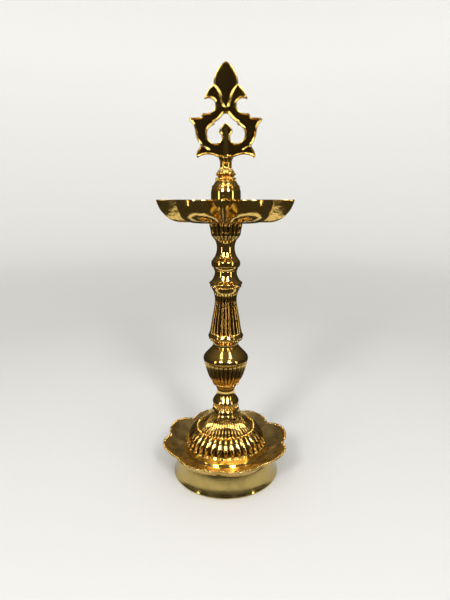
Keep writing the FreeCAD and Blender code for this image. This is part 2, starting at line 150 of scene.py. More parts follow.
def turned(outline, segments=288, ripple=None, spacing=0.25, softening=1):
    """Closed solid turned about Z from a closed outline. ripple(angle, radius, height, zones)
    gives how far each point is pushed in, and how deep it lies in a groove, from 0 to 1."""
    padded = np.array([(*point, 0.0, 0.0)[:4] for point in outline])
    closed = np.vstack([padded, padded[:1]])
    lengths = np.linalg.norm(np.diff(closed[:, :2], axis=0), axis=1)
    along = np.concatenate([[0], np.cumsum(lengths)])
    count = max(8, int(round(along[-1] / spacing)))
    wanted = np.linspace(0, along[-1], count, endpoint=False)
    even = np.stack([np.interp(wanted, along, closed[:, k]) for k in range(4)], 1)
    even = soften(even, softening)
    angle = np.linspace(0, FULL_TURN, segments, endpoint=False)[None, :]
    radius = np.repeat(even[:, :1], segments, 1)
    height = np.repeat(even[:, 1:2], segments, 1)
    groove = np.zeros_like(radius)
    if ripple:
        push, groove = ripple(angle, radius, height, (even[:, 2:3], even[:, 3:4]))
        radius = radius - push
        groove = groove + np.zeros_like(radius)
    points = np.stack([radius * np.sin(angle), -radius * np.cos(angle), height], -1)
    return points.reshape(-1, 3), grid_faces(count, segments), groove.reshape(-1)


def bored(outer, bore=TAPPED_BORE):
    """Closes an outer outline, drawn from bottom to top, with a round bore."""
    return [*outer, (bore, outer[-1][1]), (bore, outer[0][1])]


def ball(rings=7, segments=12):
    """Unit sphere as a grid with shared poles, for bead rows."""
    points = [(0, 0, -1)]
    for ring in range(1, rings):
        tilt = math.pi * ring / rings
        for segment in range(segments):
            turn = FULL_TURN * segment / segments
            points.append((
                math.sin(tilt) * math.cos(turn), math.sin(tilt) * math.sin(turn), -math.cos(tilt),
            ))
    points.append((0, 0, 1))
    top = len(points) - 1
    faces = []
    last = 1 + (rings - 2) * segments
    for segment in range(segments):
        after = (segment + 1) % segments
        faces.append((0, 1 + after, 1 + segment))
        faces.append((last + segment, last + after, top))
        for ring in range(rings - 2):
            low = 1 + ring * segments
            high = low + segments
            faces.append((low + segment, low + after, high + after, high + segment))
    return np.array(points, float), faces


BALL_POINTS, BALL_FACES = ball()


def bead_row(places, size):
    """A ball of the given radius at each place."""
    points = []
    faces = []
    for place in places:
        start = len(points) * len(BALL_POINTS)
        points.append(BALL_POINTS * size + np.array(place))
        faces.extend(tuple(start + corner for corner in face) for face in BALL_FACES)
    points = np.concatenate(points)
    return points, faces, np.zeros(len(points))


def bead_ring(radius, height, count, size):
    """Beads evenly round the axis."""
    turns = FULL_TURN * np.arange(count) / count
    places = np.stack([
        radius * np.sin(turns), -radius * np.cos(turns), np.full(count, float(height)),
    ], 1)
    return bead_row(places, size)


def place_piece(thing, body, node, material):
    thing.data.polygons.foreach_set("use_smooth", [True] * len(thing.data.polygons))
    thing.data.materials.clear()
    thing.data.materials.append(material)
    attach(thing, body)
    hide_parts(node)


def store_groove(mesh, grooves):
    attribute = mesh.attributes.new("groove", "FLOAT", "POINT")
    attribute.data.foreach_set("value", np.asarray(grooves, np.float32))


def piece(name, body, node, material, parts, bead_material=None):
    """Makes one piece from solids given in millimetres, rides it on its body in place of the
    CAD node, and stores how deep each point lies in a groove. The solids after the first can
    have a material of their own."""
    faces = []
    count = 0
    for part_points, part_faces, _ in parts:
        faces.extend((np.asarray(face) + count).tolist() for face in part_faces)
        count += len(part_points)
    points = np.concatenate([part[0] for part in parts]) * MM
    mesh = bpy.data.meshes.new(name)
    mesh.from_pydata(points.tolist(), [], faces)
    mesh.validate()
    tool = bmesh.new()
    tool.from_mesh(mesh)
    bmesh.ops.recalc_face_normals(tool, faces=tool.faces)
    tool.to_mesh(mesh)
    tool.free()
    store_groove(mesh, np.concatenate([part[2] for part in parts]))
    thing = bpy.data.objects.new(name, mesh)
    bpy.context.scene.collection.objects.link(thing)
    place_piece(thing, body, node, material)
    if bead_material:
        mesh.materials.append(bead_material)
        first = len(parts[0][1])
        for face in mesh.polygons[first:]:
            face.material_index = 1


# ---------------------------------------------------------------- cut patterns

def step_between(low, high, value):
    """Smooth step from 0 at low to 1 at high."""
    share = np.clip((value - low) / (high - low), 0, 1)
    return share * share * (3 - 2 * share)


def reeds(angle, count):
    """Round reeds with sharp valleys: 0 on a crown and 1 in a valley."""
    return 1 - np.abs(np.cos(angle * count / 2))


def run_out(pattern, zone):
    """Lets a pattern run out with rounded ends where its zone fades."""
    return np.clip(pattern - (1 - zone), 0, 1)


# ---------------------------------------------------------------- materials

# Scales of the noise patterns in the brass, from broad to fine.
PATCH_SCALE = 60
SMEAR_SCALE = 150
SKIN_SCALE = 230
LATHE_SCALE = 260
SCUFF_SCALE = 1900
GRAIN_SCALE = 2600
PATCH_STRENGTH = 0.2
GRAIN_STRENGTH = 0.035
RELIEF_DEPTH = 0.00025
RELIEF_STRENGTH = 0.3
UPRIGHT_STRETCH = 0.7
QUARTER_TURN = 0.25


def brass(name, bright, dark, roughness, patina_and_shade=0.5, waviness=1.0, lathe=0.0, dulling=0.12):
    """Polished cast brass: two golds in broad patches, a darker tone down in the grooves, partly
    dark oxide and partly painted shade, uneven polish, a slightly wavy cast skin and fine
    scuffs. patina_and_shade is how much of the darker tone a groove takes, and dulling how
    much rougher it is. lathe adds the rings that a turning tool leaves, which stretch its
    highlights upright."""
    material = bpy.data.materials.new(name)
    material.use_nodes = True
    nodes = material.node_tree.nodes
    links = material.node_tree.links
    shader = nodes["Principled BSDF"]
    shader.inputs["Metallic"].default_value = 1.0
    place = nodes.new("ShaderNodeTexCoord").outputs["Object"]

    def noise(scale, detail, stretch=(1, 1, 1)):
        mapping = nodes.new("ShaderNodeMapping")
        mapping.inputs["Scale"].default_value = stretch
        links.new(place, mapping.inputs["Vector"])
        texture = nodes.new("ShaderNodeTexNoise")
        texture.inputs["Scale"].default_value = scale
        texture.inputs["Detail"].default_value = detail
        texture.inputs["Roughness"].default_value = 0.6
        links.new(mapping.outputs["Vector"], texture.inputs["Vector"])
        return texture.outputs["Fac"]

    def spread(value, low, high, to_low, to_high):
        node = nodes.new("ShaderNodeMapRange")
        node.interpolation_type = "SMOOTHSTEP"
        links.new(value, node.inputs["Value"])
        node.inputs["From Min"].default_value = low
        node.inputs["From Max"].default_value = high
        node.inputs["To Min"].default_value = to_low
        node.inputs["To Max"].default_value = to_high
        return node.outputs["Result"]

    def combine(operation, first, second):
        node = nodes.new("ShaderNodeMath")
        node.operation = operation
        for socket, value in zip(node.inputs, (first, second)):
            if isinstance(value, (int, float)):
                socket.default_value = value
            else:
                links.new(value, socket)
        return node.outputs["Value"]

    groove = nodes.new("ShaderNodeAttribute")
    groove.attribute_name = "groove"
    patches = spread(noise(PATCH_SCALE, 5), 0.42, 0.70, 0.0, PATCH_STRENGTH)
    # The grooves take the darker tone: partly dark oxide, partly painted shade.
    in_grooves = combine("MULTIPLY", groove.outputs["Fac"], patina_and_shade)
    mix = nodes.new("ShaderNodeMix")
    mix.data_type = "RGBA"
    mix.inputs["A"].default_value = (*bright, 1)
    mix.inputs["B"].default_value = (*dark, 1)
    links.new(combine("MAXIMUM", patches, in_grooves), mix.inputs["Factor"])
    links.new(mix.outputs["Result"], shader.inputs["Base Color"])

    smears = spread(noise(SMEAR_SCALE, 6), 0.35, 0.75, roughness * 0.7, roughness * 1.5)
    scuffs = spread(noise(SCUFF_SCALE, 3), 0.45, 0.8, 0.0, roughness * 0.4)
    dull = combine("MULTIPLY", groove.outputs["Fac"], dulling)
    rough = combine("ADD", combine("ADD", smears, scuffs), dull)
    links.new(rough, shader.inputs["Roughness"])

    height = combine("MULTIPLY", noise(SKIN_SCALE, 3), waviness)
    grain = noise(GRAIN_SCALE, 4, (1, 1, 0.2))
    height = combine("ADD", height, combine("MULTIPLY", grain, GRAIN_STRENGTH))
    if lathe:
        rings = nodes.new("ShaderNodeTexWave")
        rings.bands_direction = "Z"
        rings.inputs["Scale"].default_value = LATHE_SCALE
        rings.inputs["Distortion"].default_value = 1.5
        rings.inputs["Detail"].default_value = 2
        links.new(place, rings.inputs["Vector"])
        height = combine("ADD", height, combine("MULTIPLY", rings.outputs["Fac"], lathe))
        around = nodes.new("ShaderNodeTangent")
        around.direction_type = "RADIAL"
        around.axis = "Z"
        links.new(around.outputs["Tangent"], shader.inputs["Tangent"])
        shader.inputs["Anisotropic"].default_value = UPRIGHT_STRETCH
        shader.inputs["Anisotropic Rotation"].default_value = QUARTER_TURN
    bump = nodes.new("ShaderNodeBump")
    bump.inputs["Strength"].default_value = RELIEF_STRENGTH
    bump.inputs["Distance"].default_value = RELIEF_DEPTH
    links.new(height, bump.inputs["Height"])
    links.new(bump.outputs["Normal"], shader.inputs["Normal"])
    return material


# The polished parts' grooves go nearly black: dark oxide with painted shade on top.
polished = brass(
    "polished_brass", bright=(0.88, 0.59, 0.16), dark=(0.12, 0.055, 0.012), roughness=0.10,
    patina_and_shade=1.0, waviness=0.45,
)
bowl_finish = brass(
    "bowl_brass", bright=(0.88, 0.60, 0.17), dark=(0.46, 0.25, 0.05), roughness=0.13,
    patina_and_shade=0.5, waviness=2.8,
)
# The crest brass's darker tone fills the recessed fields: partly dark oxide, partly painted shade.
crest_finish = brass(
    "crest_brass", bright=(0.86, 0.57, 0.15), dark=(0.34, 0.22, 0.06), roughness=0.07,
    patina_and_shade=0.9, waviness=0.3, dulling=0.02,
)
tray_finish = brass(
    "tray_brass", bright=(0.80, 0.58, 0.22), dark=(0.50, 0.33, 0.10), roughness=0.32,
    patina_and_shade=0.6, waviness=0.5,
)
# A darker, olive copy of the brass: painted shade for the dim surroundings that the foot's wall
# reflects.
shaded_foot_brass = brass(
    "foot_brass", bright=(0.54, 0.41, 0.14), dark=(0.36, 0.26, 0.08), roughness=0.14,
    patina_and_shade=0.5, waviness=0.2, lathe=0.06,
)
thread_finish = brass(
    "thread_brass", bright=(0.74, 0.53, 0.20), dark=(0.40, 0.25, 0.06), roughness=0.22,
    patina_and_shade=0.9, waviness=0.3,
)


# ---------------------------------------------------------------- foot and tray

BRIDGE_THICKNESS = 1.8


def foot():
    """Flared foot: a rolled lip, a hollow flare, a plain wall and the bridge under the tray."""
    top = top_height("foot_ring") - base_height("foot_ring")
    outline = [
        (39.2, 0.0),
        *through([(41.1, 0.0), (41.7, 0.25), (41.8, 0.7), (41.65, 1.15)], 4),
        *through([
            (41.45, 1.35), (40.9, 2.7), (40.35, 4.3), (39.95, 6.3), (39.72, 8.6), (39.62, 11.5),
            (39.62, 14.5), (39.7, top),
        ]),
        (TAPPED_BORE, top),
        (TAPPED_BORE, top - BRIDGE_THICKNESS),
        (38.0, top - BRIDGE_THICKNESS),
        *through([(38.0, 12.0), (38.3, 8.0), (39.0, 3.0)]),
    ]
    piece("foot_turning", "base", "foot_ring", shaded_foot_brass,
          [turned(outline, 320, spacing=0.4)])


PETALS = 8
TRAY_TURN = math.radians(15)
TRAY_MIDDLE_RADIUS = 20
TRAY_FLAT_RADIUS = 33.5
TRAY_FOOT_RADIUS = 38.4
TRAY_NOTCH_RADIUS = 45.4
TRAY_LOBE_RADIUS = 50.3
TRAY_NOTCH_HEIGHT = 6.4
TRAY_LOBE_RISE = 2.5
TRAY_FLOOR = 1.4
TRAY_WALL = 1.5
TRAY_BEAD_RADIUS = 0.82
TRAY_BEAD_SPACING = 2.3


def round_petal(offset, notch, lobe, half):
    """Radius of an arc through two notches that reaches the lobe radius in the middle."""
    chord_middle = notch * math.cos(half)
    half_chord = notch * math.sin(half)
    rise = lobe - chord_middle
    arc = (half_chord**2 + rise**2) / (2 * rise)
    centre = lobe - arc
    return centre * np.cos(offset) + np.sqrt(np.clip(arc**2 - (centre * np.sin(offset)) ** 2, 0, None))


def tray():
    """Tray with eight cupped petals: the petals' tips stand higher than the notches, a ridge
    runs in from each notch, and a row of beads follows the rim."""
    low = base_height("drip_tray")
    angle = np.linspace(0, FULL_TURN, 960, endpoint=False)
    step = FULL_TURN / PETALS
    offset = (angle - TRAY_TURN + step / 2) % step - step / 2
    share = np.abs(offset) / (step / 2)
    rim = round_petal(offset, TRAY_NOTCH_RADIUS, TRAY_LOBE_RADIUS, math.pi / PETALS)
    rim_height = low + TRAY_NOTCH_HEIGHT + TRAY_LOBE_RISE * np.cos(share * math.pi / 2) ** 0.8
    cupping = 2.0 - 1.05 * share**4

    def wall(start, count, bottom, inset):
        made = []
        for reach in np.linspace(0, 1, count):
            radius = start + (rim - inset - start) * reach
            height = bottom + (rim_height - bottom) * reach**cupping
            made.append((radius, height, 0 * angle))
        return made

    flat = np.ones_like(angle)
    floor = low + TRAY_FLOOR
    rows = [
        (TAPPED_BORE * flat, low * flat, 0 * flat),
        (TRAY_MIDDLE_RADIUS * flat, low * flat, 0 * flat),
    ]
    rows += wall(TRAY_FOOT_RADIUS, 24, low, 0.0)
    rows += [(rim - 0.5, rim_height + 0.35, 0 * flat), (rim - 1.1, rim_height + 0.25, 0 * flat)]
    rows += wall(TRAY_FLAT_RADIUS, 36, floor, TRAY_WALL)[::-1]
    rows += [
        (TRAY_MIDDLE_RADIUS * flat, floor * flat, 0 * flat),
        (TAPPED_BORE * flat, floor * flat, 0 * flat),
    ]
    edge = np.stack([
        (rim - 0.6) * np.sin(angle), -(rim - 0.6) * np.cos(angle), rim_height + 0.45,
    ], -1)
    beads = bead_row(resample(edge, TRAY_BEAD_SPACING), TRAY_BEAD_RADIUS)
    piece("tray_casting", "base", "drip_tray", tray_finish,
          [polar_grid(angle, rows), beads], polished)


# ---------------------------------------------------------------- dome and stem

GADROONS = 36
GADROON_DEPTH = 1.3
CONE_RIBS = 44
CONE_RIB_SHARE = 0.065
DOME_BEADS = 66


def dome():
    """Dome: polished skirt, gadroons over the shoulder with a dot at each foot, a row of
    beads, and a flared cone of fine ribs under a plain neck."""
    low = base_height("base_dome")
    outline = [
        (31.2, 0.0),
        (33.2, 0.0),
        (33.4, 0.45),
        *through([(33.1, 0.9), (32.2, 1.7), (31.7, 2.8), (31.5, 4.6)]),
        (31.4, 5.4, 0.0, 0),
        *through([
            (31.3, 6.4, 0.6, 0), (31.1, 7.4, 1, 0), (30.5, 10.0, 1, 0), (29.0, 13.2, 1, 0),
            (26.6, 16.2, 1, 0), (24.3, 17.8, 1, 0),
        ]),
        (23.6, 18.0, 1.0, 0),
        (23.2, 17.9, 0.6, 0),
        (22.4, 18.0, 0.0, 0),
        (21.7, 18.3, 0, 0.0),
        (21.3, 18.7, 0, 1.0),
        *through([
            (20.9, 18.9, 0, 1), (18.3, 20.3, 0, 1), (15.8, 22.4, 0, 1), (14.0, 24.6, 0, 1),
            (13.0, 26.4, 0, 1), (12.3, 27.8, 0, 1), (11.8, 29.2, 0, 1),
        ]),
        (11.6, 29.7, 0, 0.0),
        (11.1, 31.0),
        (CLEAR_BORE, 31.0),
        (CLEAR_BORE, 28.2),
        *through([(8.6, 28.2), (11.2, 24.2), (14.4, 20.0), (19.4, 16.2)]),
        *through([(19.4, 16.2), (24.2, 14.0), (27.6, 9.6), (29.2, 4.0), (30.6, 1.0)]),
    ]

    def ripple(angle, radius, height, zones):
        taper = 1 + 1.4 * (1 - step_between(low + 7, low + 13, height))
        gadroon = run_out(np.clip(reeds(angle, GADROONS) * taper, 0, 1), zones[0])
        rib = run_out(reeds(angle, CONE_RIBS), zones[1])
        push = GADROON_DEPTH * gadroon + CONE_RIB_SHARE * radius * rib
        return push, np.maximum(gadroon, rib)

    lifted = [(point[0], point[1] + low, *point[2:]) for point in outline]
    solid = turned(lifted, 1584, ripple, spacing=0.3)
    beads = bead_ring(22.5, low + 18.45, DOME_BEADS, 0.84)
    dots = bead_ring(31.35, low + 5.7, GADROONS, 0.62)
    piece("dome_casting", "base", "base_dome", polished, [solid, beads, dots])


def turning(name, body, node, outline, ripple=None, segments=288, spacing=0.22, beads=()):
    """One turned section of polished brass, from its outline above the node's lowest point."""
    low = base_height(node)
    lifted = [(point[0], point[1] + low, *point[2:]) for point in outline]
    parts = [turned(lifted, segments, ripple, spacing)]
    parts += [bead_ring(radius, height + low, count, size) for radius, height, count, size in beads]
    piece(name, body, node, polished, parts)


def knop():
    """Knop: turned rings with a toothed band."""
    turning("knop_turning", "base", "lower_knop", bored([
        *through([(11.0, 0.0), (10.7, 1.2), (10.5, 2.4)]),
        (10.1, 3.1),
        (9.4, 3.5),
        (9.4, 5.6),
        *through([(9.3, 5.9), (9.4, 6.6), (10.0, 7.4), (10.4, 8.3), (10.2, 9.4), (9.6, 10.6)]),
        *through([(9.4, 10.9), (8.5, 12.2), (7.8, 13.4), (7.4, 14.3)]),
    ], CLEAR_BORE), beads=[(9.45, 4.55, 30, 0.82)])


# Reeds round each casting, and their depth as a share of the radius.
URN_REEDS = 28
URN_REED_SHARE = 0.085
COLUMN_REEDS = 22
COLUMN_REED_SHARE = 0.11
CUP_REEDS = 20
CUP_REED_SHARE = 0.10


def urn():
    """Urn: plain neck, reeded belly, plain band and a smooth shoulder."""
    def ripple(angle, radius, height, zones):
        groove = run_out(reeds(angle, URN_REEDS), zones[0])
        return URN_REED_SHARE * radius * groove, groove

    turning("urn_casting", "base", "urn", bored([
        (7.4, 0.0),
        *through([(7.2, 0.5), (7.05, 2.5), (7.1, 4.6), (7.4, 6.2), (8.0, 6.9), (8.15, 7.8)]),
        *through([(8.3, 8.3), (9.3, 9.7)]),
        *through([
            (9.7, 10.3, 0.0, 0), (11.5, 12.5, 0.9, 0), (13.3, 15.8, 1, 0), (14.8, 20.0, 1, 0),
            (15.9, 23.6, 1, 0), (16.5, 26.2, 1, 0), (16.7, 27.6, 1, 0),
        ]),
        (16.75, 27.9, 0.0, 0),
        (16.85, 28.5),
        (17.1, 28.8),
        *through([(17.25, 29.3), (17.25, 30.2), (17.1, 31.3), (16.6, 32.4)], 4),
        (16.3, 32.6),
        *through([
            (16.2, 32.9), (15.3, 34.0), (14.1, 35.2), (12.9, 36.5), (11.7, 37.8), (10.5, 39.2),
        ]),
    ]), ripple, URN_REEDS * 28, 0.26, [(9.75, 9.7, URN_REEDS, 0.72)])


def column():
    """Column: a beaded ring near the foot, then a reeded taper to the waist and the head."""
    def ripple(angle, radius, height, zones):
        groove = run_out(reeds(angle, COLUMN_REEDS), zones[0])
        return COLUMN_REED_SHARE * radius * groove, groove

    turning("column_casting", "stem", "fluted_column", bored([
        (9.6, 0.0),
        *through([(9.6, 1.8), (10.0, 2.7), (10.6, 3.5), (11.6, 4.4)]),
        *through([(12.0, 4.9), (12.5, 5.9), (13.0, 6.9), (13.4, 7.6), (13.3, 8.5), (12.8, 9.2)]),
        (12.55, 9.6),
        (12.45, 10.0, 0.0, 0),
        *through([
            (12.35, 10.5, 1, 0), (11.8, 13.0, 1, 0), (11.0, 17.8, 1, 0), (10.3, 22.5, 1, 0),
            (9.5, 26.5, 1, 0), (8.8, 30.6, 1, 0), (8.35, 34.0, 1, 0), (8.3, 37.2, 1, 0),
            (8.65, 39.6, 0.9, 0), (9.3, 42.0, 0.5, 0),
        ]),
        *through([(9.7, 43.0), (10.2, 44.0), (11.0, 45.6)]),
    ]), ripple, COLUMN_REEDS * 32, 0.28, [(12.25, 5.5, 40, 0.66)])


def bell():
    """Bell: a sharp flange over a row of fine beads, sloping in to a neck."""
    turning("bell_turning", "stem", "stem_bell", bored([
        (10.9, 0.0),
        (11.2, 0.9),
        *through([(11.5, 1.3), (12.0, 2.2), (12.35, 2.9), (12.35, 3.3), (11.8, 3.8)], 4),
        *through([(11.5, 4.1), (10.4, 5.0), (9.6, 6.4), (8.9, 7.9), (8.35, 9.6), (8.2, 12.4)]),
    ]), beads=[(11.2, 0.6, 42, 0.58)])


def barrel():
    """Barrel: a round ring between two necks."""
    turning("barrel_turning", "stem", "stem_barrel", bored([
        (8.4, 0.0),
        (8.7, 0.5),
        *through([(8.9, 1.2), (9.4, 2.3), (10.1, 3.0)]),
        *through([(10.4, 3.4), (10.7, 4.6), (10.7, 5.8), (10.5, 7.1)], 5),
        *through([
            (10.1, 7.5), (9.3, 8.7), (8.6, 9.8), (7.9, 10.8), (7.4, 12.3), (6.85, 14.0),
            (6.6, 16.0), (6.65, 18.2), (6.95, 19.8), (7.5, 21.3),
        ]),
    ]))


# ---------------------------------------------------------------- cup, bowl and collar

def cup():
    """Reeded cup that carries the bowl."""
    def ripple(angle, radius, height, zones):
        groove = run_out(reeds(angle, CUP_REEDS), zones[0])
        return CUP_REED_SHARE * radius * groove, groove

    turning("cup_casting", "bowl", "bowl_cup", bored([
        (7.7, 0.0),
        *through([
            (8.2, 0.5, 0.0, 0), (8.9, 1.3, 0.8, 0), (9.7, 2.3, 1, 0), (10.4, 3.4, 1, 0),
            (10.9, 4.8, 1, 0), (11.1, 6.4, 1, 0), (11.4, 8.2, 1, 0), (11.8, 9.8, 1, 0),
            (12.0, 11.4, 1, 0), (12.0, 12.75, 1, 0),
        ]),
    ]), ripple, CUP_REEDS * 30, 0.26)


SPOUTS = 5
BOWL_TURN = math.radians(-2.5)
VALLEY_ANGLE = math.radians(10.8)
VALLEY_RADIUS = 36.2
LOBE_RADIUS = 44.5
BOWL_WALL = 1.7
BOWL_KEEL_WALL = 3.2
BOWL_FLOOR = 1.5
RIM_BEAD_RADIUS = 0.44
RIM_BEAD_SPACING = 1.7
# Keel under each wick spout, from the bowl's floor out to the tip: radius and height.
KEEL = [
    (0, 0.5), (20, 0.5), (30, 0.5), (34.5, 0.75), (37.8, 1.6), (41.0, 3.1), (43.1, 4.6),
    (45.1, 6.7), (47.1, 8.9), (48.2, 11.0), (49.2, 13.2), (50.2, 16.3),
]
# Section of a round lobe: share of the lobe's radius and height.
LOBE_SECTION = [
    (0.0, 0.0), (0.40, 0.0), (0.62, 0.35), (0.76, 1.3), (0.87, 3.6), (0.94, 7.0), (0.98, 11.0),
    (1.0, 16.3),
]


def bowl_rings(low, depth, lobe_in, keel_in, floor, slope, rows):
    """Rings of one side of the bowl, from its floor to its rim. At each angle the section is
    the lower of a round lobe and the side of a V-shaped spout, which rises by slope."""
    local = np.linspace(0, FULL_TURN, 900, endpoint=False)
    step = FULL_TURN / SPOUTS
    from_spout = np.abs((local + step / 2) % step - step / 2)
    half_lobe = step / 2 - VALLEY_ANGLE
    lobe = round_petal(step / 2 - from_spout, VALLEY_RADIUS, LOBE_RADIUS, half_lobe)
    lobe = np.maximum(lobe, 22.0) - lobe_in
    keel = np.array(through(KEEL, 6))
    section = np.array(through(LOBE_SECTION, 8))
    columns = []
    for angle, lobe_radius in zip(from_spout, lobe):
        radius = np.linspace(3.0, KEEL[-1][0] + 0.3, 600)
        dish = np.interp(radius / lobe_radius, section[:, 0], section[:, 1], right=99)
        out = radius * math.cos(angle)
        side = radius * abs(math.sin(angle))
        spout = np.interp(out + keel_in, keel[:, 0], keel[:, 1], right=99)
        spout = spout + slope * (np.sqrt(side**2 + 0.35) - math.sqrt(0.35))
        lower = np.minimum(dish, np.where(out > 5, spout, 99)) + floor
        last = int(np.argmax(lower >= depth)) if (lower >= depth).any() else len(radius) - 1
        before = max(last - 1, 0)
        blend = (depth - lower[before]) / max(lower[last] - lower[before], 1e-9)
        edge = radius[before] + (radius[last] - radius[before]) * min(max(blend, 0), 1)
        line = np.column_stack([radius[:last], lower[:last]])
        line = np.vstack([line, [edge, depth]])
        columns.append(resample(line, 1.0, closed=False, count=rows))
    columns = np.array(columns)
    return local + BOWL_TURN, columns[:, :, 0].T, columns[:, :, 1].T + low


def bowl():
    """Oil bowl: five pointed wick spouts and five round lobes, with beads along the rim."""
    low = base_height("oil_bowl")
    depth = top_height("oil_bowl") - low - 0.35
    angle, radius, height = bowl_rings(
        low, depth, lobe_in=0.0, keel_in=0.0, floor=0.0, slope=2.25, rows=64)
    inner_radius, inner_height = bowl_rings(
        low, depth, BOWL_WALL, BOWL_KEEL_WALL, BOWL_FLOOR, slope=2.6, rows=56)[1:]
    rim = radius[-1]
    nothing = 0 * angle
    rows = [(ring, level, nothing) for ring, level in zip(radius, height)]
    rows.append((rim - 0.35, height[-1] + 0.3, nothing))
    rows.append((rim - 1.1, height[-1] + 0.3, nothing))
    # The inside of the bowl takes a little of the grooves' darker tone and roughness.
    inside_darkening = nothing + 0.35
    rows += [(ring, level, inside_darkening) for ring, level in zip(inner_radius[::-1], inner_height[::-1])]
    rows.append((TAPPED_BORE + nothing, inner_height[0], nothing))
    rows.append((TAPPED_BORE + nothing, height[0], nothing))
    edge = np.stack([
        (rim - 0.7) * np.sin(angle), -(rim - 0.7) * np.cos(angle),
        np.full(len(angle), low + depth - 0.1),
    ], -1)
    beads = bead_row(resample(edge, RIM_BEAD_SPACING), RIM_BEAD_RADIUS)
    piece("bowl_casting", "bowl", "oil_bowl", bowl_finish,
          [polar_grid(angle, rows), beads], polished)


def collar():
    """Collar: the smooth turned boss in the middle of the bowl."""
    turning("collar_turning", "bowl", "bowl_collar", bored([
        (11.8, 0.0),
        *through([(11.6, 0.4), (11.0, 1.4), (10.75, 3.0), (10.7, 6.0), (10.7, 19.6)]),
        *through([(10.65, 20.2), (10.45, 21.1), (10.1, 21.9), (9.85, 22.3)], 5),
        *through([(10.0, 22.7), (10.15, 23.2), (10.0, 23.8), (9.6, 24.3)], 5),
        *through([(9.3, 24.5), (8.7, 25.1), (8.2, 25.9), (7.8, 26.7), (7.5, 27.35)]),
    ], FINIAL_BORE))


# ---------------------------------------------------------------- finial

RING_RIBS = 34
FLARE_RIBS = 18
SEAT_RIB_DEPTH = 0.8
NECK_RIB_DEPTH = 0.75
FLARE_RIB_DEPTH = 0.6


def crest_ring():
    """Ribbed ring on the collar, under the crest's neck."""
    def ripple(angle, radius, height, zones):
        groove = run_out(reeds(angle, RING_RIBS), zones[0])
        return SEAT_RIB_DEPTH * groove, groove

    turning("crest_ring_turning", "crest_seat", "crest_ring", bored([
        (6.9, 0.0),
        *through([
            (7.2, 0.2, 0.0, 0), (7.5, 0.8, 0.9, 0), (7.5, 1.5, 1, 0), (7.2, 2.1, 0.8, 0),
            (6.7, 2.5, 0, 0),
        ]),
        (6.2, 2.9),
    ], FINIAL_BORE), ripple, RING_RIBS * 18, 0.14)


def finial_neck():
    """Neck of the crest: a ribbed ring, then a slim waist that opens under the plate."""
    def ripple(angle, radius, height, zones):
        ring = run_out(reeds(angle, RING_RIBS), zones[0])
        flare = run_out(reeds(angle, FLARE_RIBS), zones[1])
        return NECK_RIB_DEPTH * ring + FLARE_RIB_DEPTH * flare, np.maximum(ring, flare)

    turning("finial_turning", "crest", "finial_neck", bored([
        (5.7, 0.0),
        (5.6, 0.5),
        *through([
            (6.2, 0.8, 0.0, 0), (7.0, 1.2, 0.9, 0), (7.15, 1.8, 1, 0), (7.0, 2.4, 0.9, 0),
            (6.4, 3.0, 0, 0),
        ], 5),
        *through([
            (6.2, 3.3, 0, 0), (5.6, 4.1, 0, 0.4), (5.0, 5.0, 0, 0.9), (4.4, 6.0, 0, 0.7),
            (4.2, 7.0, 0, 0.2), (4.2, 8.8, 0, 0.2), (4.35, 10.2, 0, 0.8), (4.8, 11.8, 0, 1),
            (5.4, 13.25, 0, 1),
        ]),
    ], FINIAL_STUD), ripple, RING_RIBS * 18, 0.2)


CREST_OUTLINE = [
    *through([(0.0, 0.3), (3.2, 0.2), (5.6, 0.1)], 2),
    *through([(5.6, 0.1), (8.6, 1.3), (13.0, 2.0), (17.6, 1.1), (20.0, -0.4)]),
    *through([(20.0, -0.4), (20.75, 1.2), (19.9, 4.3), (18.1, 7.1)]),
    *through([(17.7, 8.3), (19.5, 10.8), (20.9, 14.5), (21.7, 19.0), (23.0, 22.2), (25.3, 24.8)]),
    (24.6, 26.2),
    (17.1, 26.4),
    *through([(16.9, 27.0), (16.3, 28.8)], 2),
    *through([
        (16.0, 29.1), (13.2, 29.1), (10.3, 29.7), (8.4, 31.2), (7.4, 34.4), (7.9, 36.9),
        (10.2, 38.7), (12.6, 38.9), (14.6, 38.2),
    ]),
    *through([(14.8, 38.5), (14.1, 40.6), (12.0, 44.1), (8.7, 47.4)]),
    *through([(8.5, 48.0), (8.0, 51.5), (5.6, 56.8), (2.4, 60.6), (0.0, 62.0)]),
]
CREST_HOLE = [
    *through([(0.0, 22.9), (2.2, 21.6), (3.9, 19.4), (4.9, 16.7)]),
    *through([
        (4.3, 16.2), (3.3, 15.2), (2.95, 13.6), (3.3, 11.8), (4.9, 10.0), (7.5, 9.3),
        (10.2, 10.2), (12.4, 12.6), (13.1, 15.8), (12.2, 19.0), (9.6, 21.3),
    ]),
    (7.6, 21.9),
    *through([(8.3, 23.3), (6.6, 24.0), (4.6, 25.5), (3.1, 27.0), (1.7, 28.9)]),
    (0.0, 28.9),
]
# Ridges on the crest's right half: the path, the half width and the height over the field.
CREST_RIDGES = [
    (through([(8.5, 47.3), (6.0, 44.6), (4.0, 41.0), (3.0, 37.0), (2.5, 35.2), (1.5, 33.4),
              (0.0, 32.7)]), 0.45, 0.60),
    (through([(0.0, 21.0), (0.0, 15.0), (0.0, 8.0), (0.0, 2.5)]), 2.2, 0.55),
    (through([(18.0, 7.6), (16.0, 7.1), (13.6, 6.0), (12.2, 5.0)]), 0.55, 0.5),
]
CREST_HALF = 1.5
CREST_FIELD = 0.8
CREST_EDGE = 0.75
CREST_TENON = 3.0
CREST_RIM = 0.55
CREST_VOXEL = 0.24
LINE_SPACING = 0.12


